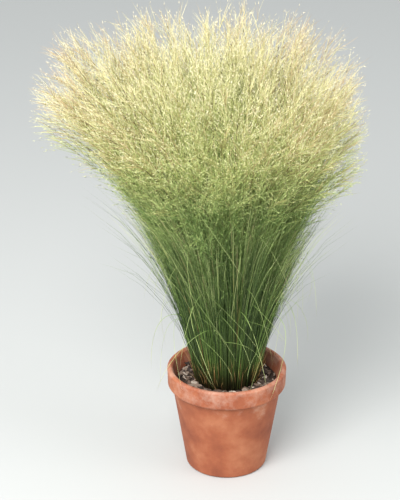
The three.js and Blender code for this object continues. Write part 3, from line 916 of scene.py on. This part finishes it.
def beside(ahead, random):
    """Two unit directions square to each of these ones, and to each other."""
    one = np.cross(ahead, random.normal(size=ahead.shape))
    one /= np.linalg.norm(one, axis=1, keepdims=True)
    return one, np.cross(ahead, one)


def turned_aside(ahead, angle, random):
    """Directions turned away from these ones by angles, each to a side of its own."""
    one, _ = beside(ahead, random)
    angle = np.radians(angle)[:, None]
    return np.cos(angle) * ahead + np.sin(angle) * one


def lit_shaded_or_tawny(shape, tawny, random):
    """Tones of strands that are in turn in painted shade and painted light, as hairs are that glint where
    they twist, or for some, each by its own chance, tawny, which is their own colour."""
    in_shade = random.random(shape) < SHADE_SHARE
    shaded_tones, lit_tones = (between(bounds, random.random(shape)) for bounds in (SHADE_TONES, LIGHT_TONES))
    is_tawny = random.random(shape[0]) < tawny
    tawny_tones = between(TAWNY_TONES, random.random(shape[0]))
    return np.where(is_tawny[:, None], tawny_tones[:, None], np.where(in_shade, shaded_tones, lit_tones))


def tapered(radius, taper, thickness, count, random):
    """Radii that taper along strands, each strand of a thickness of its own."""
    return radius * np.array(taper) * between(thickness, random.random((count, 1)))


def stem_strands(cell, random):
    """The flowering stems of a spray, and what its spikelets have to know of them. Some are brown
    and thick, as stems are whose branches still lie against them."""
    each = EDGE_STEMS_EACH if cell["edge"] else STEMS_EACH
    blades = sow_stems(cell, each * len(cell["sown"]), random)
    count, shorter = len(blades), blades[:, 4]
    middle = sum(cell[side][0] for side in ("inner", "outer")) / 2
    heading = cell["start"][1] + cell["width"][1] * blades[:, 3]
    back = np.clip(BACK_FROM + np.sin(heading), 0, 1) * middle
    longest = between((STEM_MIDDLE, STEM_EDGE), middle**2) + STEM_TALLER * back
    length = longest - STEM_SHORTER * (1 - BACK_EVEN * back) * shorter**1.7
    left = np.clip(LEFT_FROM - np.cos(heading), 0, 1) * np.clip(FRONT_FROM - np.sin(heading), 0, 1)
    chance = BROWN_SHARE * (1 + BROWNER_LEFT * left * middle**2)
    brown = (random.random(count) < chance) & (shorter < BROWN_SHORTER)
    nod = random.normal(0, NOD, (count, 3))
    nod[:, 2] = -NOD_DOWN * np.hypot(nod[:, 0], nod[:, 1])
    droop = EDGE_DROOP * middle**3 * (1 - shorter) * random.random(count)
    sag = -EDGE_SAG * (1 - SIDES_HELD * np.abs(np.cos(heading)))
    nod += droop[:, None] * np.stack([np.cos(heading), np.sin(heading), sag], axis=1)
    part = np.linspace(0, 1, STEM_STOPS)[None, :]
    along = part * (length[:, None] + ROOT_DEPTH) - ROOT_DEPTH
    places = nodding(cell, blades, along, length, nod)
    fit = room(places, spare=STEM_SPARE)
    places = shortened(places, fit)
    radii = STEM_RADIUS * (1 + BROWN_THICKER * brown)[:, None] * (1 - STEM_TAPER * part)
    brown_tones = between(BROWN_TONES, random.random(count))
    tones = np.where(brown, brown_tones, STEM_TONES * random.random(count) ** 1.5)
    stems = strands(places, radii, tones, ripeness(places), random.normal(size=(count, 3)))
    lines = (blades, length, nod, places[:, 0], fit)
    return stems, {"lines": lines, "heading": heading, "brown": brown, "middle": middle}


def spikelet_places(cell, stems, random):
    """The spikelets of a spray: their order up the panicle, from 0 to 1, the places where their
    branches leave the stem, the way ahead there, and how much riper they are than others."""
    count, middle = len(stems["heading"]), stems["middle"]
    owner = np.repeat(np.arange(count), SPIKELETS)
    order = ((np.tile(np.arange(SPIKELETS), count) + random.random(len(owner))) / SPIKELETS) ** TOP_HEAVY
    front = np.maximum(-np.sin(stems["heading"]), 0)[owner] * middle
    chance = FRONT_BARE * front * (1 - FRONT_FILLING * order)
    shed = (order < BROWN_BARE_TO) & stems["brown"][owner] | (random.random(len(owner)) < chance)
    owner, order = owner[~shed], order[~shed]
    riper = SIDE_RIPER * middle**2 * (np.abs(np.cos(stems["heading"]))[owner] * order)[:, None]
    blades, length, nod, root, fit = (line[owner] for line in stems["lines"])
    start = length - PANICLE_LENGTH * (1 - order) - TIP_BARE * order
    reach = np.stack([start, start + 0.01], axis=1)
    line = nodding(cell, blades, reach, length, nod)
    line = root[:, None] + fit[:, None, None] * (line - root[:, None])
    ahead = line[:, 1] - line[:, 0]
    ahead /= np.linalg.norm(ahead, axis=1, keepdims=True)
    return {"order": order, "foot": line[:, 0], "ahead": ahead, "riper": riper, "outward": middle**2}


def branch_strands(spikelets, random):
    """The fine branches of the spikelets, the way that each goes, and the places of their tips."""
    order, foot, total = spikelets["order"], spikelets["foot"], len(spikelets["order"])
    size = between(BRANCH_LENGTH, random.random(total)) * (1.1 - BRANCH_SHORTER * order)
    way = turned_aside(spikelets["ahead"], between(BRANCH_ANGLE, random.random(total)), random)
    way[:, 2] -= BRANCH_WEIGHT
    places = np.stack([foot, foot + size[:, None] * way], axis=1)
    places = shortened(places, room(places))
    radii = tapered(BRANCH_RADIUS, (1, 0), FINE_THICKNESS, total, random)
    shade = ripeness(places, spikelets["riper"])
    tones = lit_shaded_or_tawny((total, 2), EDGE_TAWNY * spikelets["outward"] * order, random)
    return strands(places, radii, tones, shade, random.normal(size=(total, 3))), way, places[:, 1]


def glume_strands(spikelets, way, tips, random):
    """The glumes of the spikelets, near the tips of their branches."""
    order, foot, total = spikelets["order"], spikelets["foot"], len(spikelets["order"])
    held_at = foot + between(GLUME_AT, random.random(total))[:, None] * (tips - foot)
    gape = turned_aside(way, between(GLUME_ANGLE, random.random(total)), random)
    long = GLUME_LENGTH * between(GLUME_SIZES, random.random((total, 1)))
    places = np.stack([held_at, held_at + long * gape], axis=1)
    places = shortened(places, room(places))
    slim = (1 - GLUME_SLIMMER * spikelets["outward"] * order)[:, None]
    radii = slim * tapered(GLUME_RADIUS, (1, 0), GLUME_SIZES, total, random)
    tones = between(HUSK_TONES, random.random(total))
    tones = np.where(order > PALE_TIP, np.maximum(tones, PALE_TIP_TONE), tones)
    shade = ripeness(places, spikelets["riper"])
    return strands(places, radii, tones, shade, random.normal(size=(total, 3)))


def awn_strands(spikelets, random):
    """The awns that stream out of some of the spikelets, curving as they go."""
    share = between((AWN_SHARE, EDGE_AWN_SHARE), spikelets["outward"] * spikelets["order"])
    awned = random.random(len(share)) < share
    ahead, here, order = (spikelets[name][awned] for name in ("ahead", "foot", "order"))
    total = len(order)
    aside, across = beside(ahead, random)
    size = between(AWN_LENGTH, random.random(total)) * (1.1 - AWN_SHORTER * order)
    wide = np.radians(between(AWN_ANGLE, random.random(total)))
    swing = random.normal(0, AWN_SWING, total)
    places = [here]
    for low, high in zip(AWN_PARTS, AWN_PARTS[1:]):
        turn = swing * (2 * low - 0.6)
        way = np.cos(wide)[:, None] * ahead + (np.sin(wide) * np.cos(turn))[:, None] * aside
        way += (np.sin(wide + 0.2) * np.sin(turn))[:, None] * across
        way[:, 2] -= AWN_WEIGHT * low
        here = here + (size * (high - low))[:, None] * way
        places.append(here)
    places = np.stack(places, axis=1)
    places = shortened(places, room(places))
    radii = tapered(AWN_RADIUS, AWN_TAPER, FINE_THICKNESS, total, random)
    shade = ripeness(places, spikelets["riper"][awned])
    tones = lit_shaded_or_tawny((total, 4), EDGE_TAWNY * spikelets["outward"], random)
    return strands(places, radii, tones, shade, random.normal(size=(total, 3)))


# Ripening grass: green below and straw above, or brown or tawny, with papery glumes and with silky
# awns. Each strand's tone mixes a lit ramp of painted light with a shaded ramp of painted shade, and
# painted glints, where the awns would glint as they twist, break them into light and dark marks about
# 3 mm long, coarser than real ones.
GLINTS = (420, 210, 1)

ripe_straw, shader = new_finish("feather_grass_straw", roughness=0.5, ior=1.45)
strand = add(ripe_straw, "UVMap", uv_map="OFBake")
grain = add(ripe_straw, "SeparateXYZ", {"Vector": strand.outputs["UV"]})
tone, grown = grain.outputs["X"], grain.outputs["Y"]
lit = ramp(
    ripe_straw,
    grown,
    [
        (0, "#6d6136"),
        (0.06, "#647a3c"),
        (0.4, "#7c9a50"),
        (0.56, "#a2be6c"),
        (0.7, "#dce698"),
        (0.88, "#fff7c6"),
        (1, "#e9d9b4"),
    ],
)
shaded_ramp = ramp(
    ripe_straw,
    grown,
    [
        (0, "#2a2415"),
        (0.06, "#28391a"),
        (0.4, "#385222"),
        (0.56, "#5c7a3a"),
        (0.7, "#9dab5c"),
        (0.88, "#c3b974"),
        (1, "#a3926a"),
    ],
)
rachis = ramp(ripe_straw, grown, [(0.3, "#42572a"), (0.6, "#5a4c2b"), (0.85, "#4f3b25"), (1, "#7a5a38")])
tawny = ramp(ripe_straw, grown, [(0.4, "#6f8f48"), (0.58, "#a2aa60"), (0.76, "#c6ae7c"), (1, "#c9ab86")])
brown = mixed(ripe_straw, above(ripe_straw, tone, TAWNY_FROM), rachis, tawny)
pale_husk = ramp(
    ripe_straw,
    grown,
    [(0.3, "#88a455"), (0.5, "#a6be6e"), (0.66, "#e6eca4"), (0.8, "#fff8ce"), (1, "#f1e4c8")],
)
dark_husk = ramp(ripe_straw, grown, [(0.3, "#42582a"), (0.6, "#6c6f3a"), (0.85, "#6a5836"), (1, "#7c6244")])
husk = mixed(ripe_straw, above(ripe_straw, tone, PALE_HUSK), dark_husk, pale_husk)
brightness = add(ripe_straw, "MapRange", {"Value": tone, "From Max": STALK_TONES}).outputs["Result"]
# Painted glints: a noise along each strand makes it lighter and darker in turn, more so higher up.
spread_out = add(ripe_straw, "VectorMath", {0: strand.outputs["UV"], 1: GLINTS}, operation="MULTIPLY")
flicker = add(ripe_straw, "TexNoise", {"Vector": spread_out.outputs["Vector"], "Scale": 1, "Detail": 1})
glint = add(
    ripe_straw,
    "MapRange",
    {"Value": flicker.outputs["Fac"], "From Min": 0.4, "From Max": 0.6, "To Min": -0.8, "To Max": 0.8},
).outputs["Result"]
glint_height = add(ripe_straw, "MapRange", {"Value": grown, "From Min": 0.45, "From Max": 0.75}).outputs["Result"]
painted_glint = add(ripe_straw, "Math", {0: glint, 1: glint_height}, operation="MULTIPLY").outputs["Value"]
glint_and_light = add(ripe_straw, "Math", {0: painted_glint, 1: brightness}, operation="ADD", use_clamp=True)
stalk = mixed(ripe_straw, glint_and_light.outputs["Value"], shaded_ramp, lit)
stem_colour = mixed(ripe_straw, above(ripe_straw, tone, BROWN_FROM), stalk, brown)
straw_colour = mixed(ripe_straw, above(ripe_straw, tone, HUSK_FROM), stem_colour, husk)
ripe_straw.node_tree.links.new(straw_colour, shader.inputs["Base Color"])

number = 0
for cell in cells:
    if cell["kind"] != "flower":
        continue
    number += 1
    random = np.random.default_rng(2000 + number)
    stems, known = stem_strands(cell, random)
    spikelets = spikelet_places(cell, known, random)
    branches, way, tips = branch_strands(spikelets, random)
    glumes = glume_strands(spikelets, way, tips, random)
    awns = awn_strands(spikelets, random)
    leaves = leaf_strands(cell, FLOWER_LEAVES_EACH, random, in_spray=True)
    spray = grass_piece(f"panicles_{number:02d}", [stems, branches, glumes, awns, leaves], ripe_straw)
    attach(spray, "root")
    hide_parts(f"flower_spray_{number:02d}")

# The studio. A plain pale floor, soft light from a large overhead panel and a dim even surround,
# and a camera that looks down on the plant as one who stands before it does.
FLOOR_SIZE = 14
CAMERA_ELEVATION = 24
CAMERA_DISTANCE = 3.05
CAMERA_LENS = 127

deselect()
bpy.ops.mesh.primitive_plane_add(size=FLOOR_SIZE, location=(0, 0, 0))
floor = bpy.context.object
floor.name = "studio_floor"
studio_grey, shader = new_finish("studio_floor_paint", roughness=0.9)
shader.inputs["Base Color"].default_value = linear("#b9bab8")
floor.data.materials.append(studio_grey)
floor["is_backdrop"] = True

world = bpy.data.worlds.new("studio_surround")
bpy.context.scene.world = world
world.use_nodes = True
world.node_tree.nodes["Background"].inputs["Color"].default_value = linear("#eef2f4")
world.node_tree.nodes["Background"].inputs["Strength"].default_value = 1.0
bpy.context.scene.view_settings.view_transform = "Standard"


def panel(name, place, aim, size, power):
    """A soft square light panel at a place, turned to face its aim."""
    bpy.ops.object.light_add(type="AREA", location=place)
    light = bpy.context.object
    light.name = name
    light.data.size = size
    light.data.energy = power
    light.rotation_euler = (Vector(aim) - Vector(place)).to_track_quat("-Z", "Y").to_euler()


panel("overhead_panel", place=(-1.0, -2.2, 2.6), aim=(0, 0, 0.45), size=2.0, power=182)
panel("side_panel", place=(2.2, -1.0, 1.6), aim=(0, 0, 0.4), size=1.4, power=18)

low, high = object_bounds()
middle = (Vector(low) + Vector(high)) / 2
tilt = math.radians(CAMERA_ELEVATION)
bpy.ops.object.camera_add(
    location=middle + CAMERA_DISTANCE * Vector((0, -math.cos(tilt), math.sin(tilt))),
    rotation=(math.pi / 2 - tilt, 0, 0),
)
camera = bpy.context.object
camera.data.lens = CAMERA_LENS
bpy.context.scene.camera = camera
